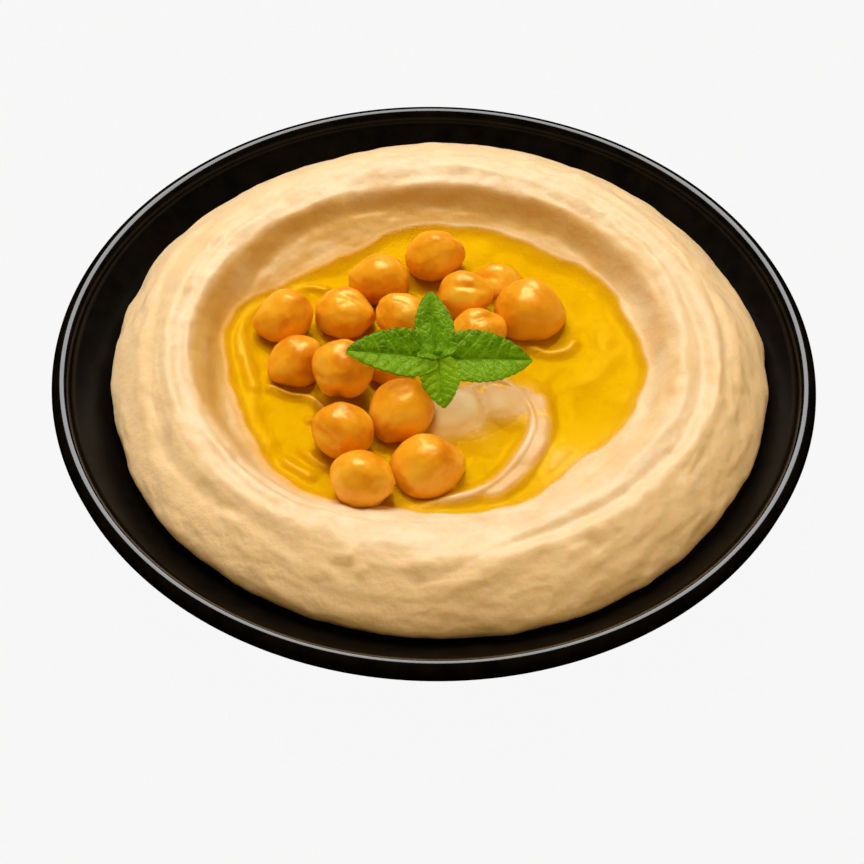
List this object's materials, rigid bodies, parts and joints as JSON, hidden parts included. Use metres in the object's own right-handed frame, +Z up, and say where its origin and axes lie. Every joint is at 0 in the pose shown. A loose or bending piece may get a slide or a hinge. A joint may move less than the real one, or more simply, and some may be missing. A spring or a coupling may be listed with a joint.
{
  "type": "dish of hummus",
  "caption": "Round shallow black dish holding a thick swirled ring of hummus, with chickpeas, olive oil and a mint sprig in its basin.",
  "frame": {"origin": "on the floor, under the middle of the dish", "axes": "+Z up, +X to the right and -Y towards the viewer; the dish is round about Z"},
  "size_m": [0.15, 0.15, 0.0369],
  "materials": {
    "stoneware": "black satin glaze, glossy on the rolled lip",
    "hummus": "smooth moist paste, pale tan, soft sheen",
    "olive_oil": "clear golden liquid, mirror smooth",
    "chickpea": "oiled skin, golden orange, glossy",
    "mint_leaf": "fresh quilted leaf, bright green, soft gloss"
  },
  "bodies": {
    "root": {"dish": "stoneware", "hummus": "hummus", "oil_pool": "olive_oil", "chickpea_01": "chickpea", "chickpea_02": "chickpea", "chickpea_03": "chickpea", "chickpea_04": "chickpea", "chickpea_05": "chickpea", "chickpea_06": "chickpea", "chickpea_07": "chickpea", "chickpea_08": "chickpea", "chickpea_09": "chickpea", "chickpea_10": "chickpea", "chickpea_11": "chickpea", "chickpea_12": "chickpea", "chickpea_13": "chickpea", "chickpea_14": "chickpea", "chickpea_15": "chickpea", "chickpea_16": "chickpea", "mint_sprig": "mint_leaf"}
  },
  "joints": []
}
